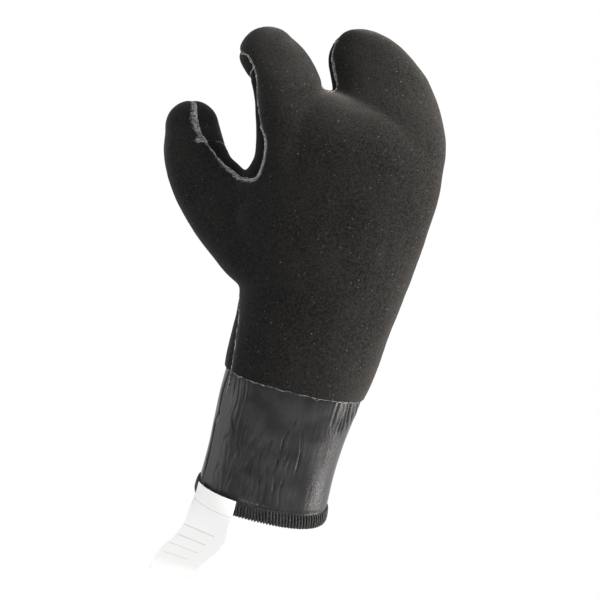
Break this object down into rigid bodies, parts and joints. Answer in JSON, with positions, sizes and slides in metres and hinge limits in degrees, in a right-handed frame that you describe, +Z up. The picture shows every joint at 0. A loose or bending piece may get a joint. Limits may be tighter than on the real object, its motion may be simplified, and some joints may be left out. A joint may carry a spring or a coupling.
{
  "type": "three-finger diving mitt",
  "caption": "Right-hand foam rubber diving mitt with a thumb, a separate index finger and one pocket for the other fingers, glued seams, a thin smooth cuff and an overlocked hem.",
  "frame": {"origin": "middle of the lying mitt's footprint, on the surface that it lies on", "axes": "+Y from the cuff towards the fingertips, +Z up out of the back of the hand, +X towards the little finger's side"},
  "size_m": [0.1629, 0.3461, 0.0722],
  "materials": {
    "back_panel": "black knitted cloth bonded to foam rubber, matt with a fine nap",
    "palm_panel": "black knitted cloth bonded to foam rubber, matt",
    "thumb_gusset": "black knitted cloth bonded to foam rubber, with dried glue along its edges",
    "finger_gusset": "black knitted cloth bonded to foam rubber, with dried glue along its edges",
    "cuff": "smooth skinned foam rubber, satin, with fine lengthwise creases",
    "hem_stitching": "black overlock thread",
    "size_label": "white satin ribbon with thin ruled lines"
  },
  "bodies": {
    "root": {"back_panel": "back_panel", "palm_panel": "palm_panel", "thumb_gusset": "thumb_gusset", "finger_gusset": "finger_gusset", "cuff": "cuff", "hem_stitching": "hem_stitching", "size_label": "size_label"}
  },
  "joints": []
}
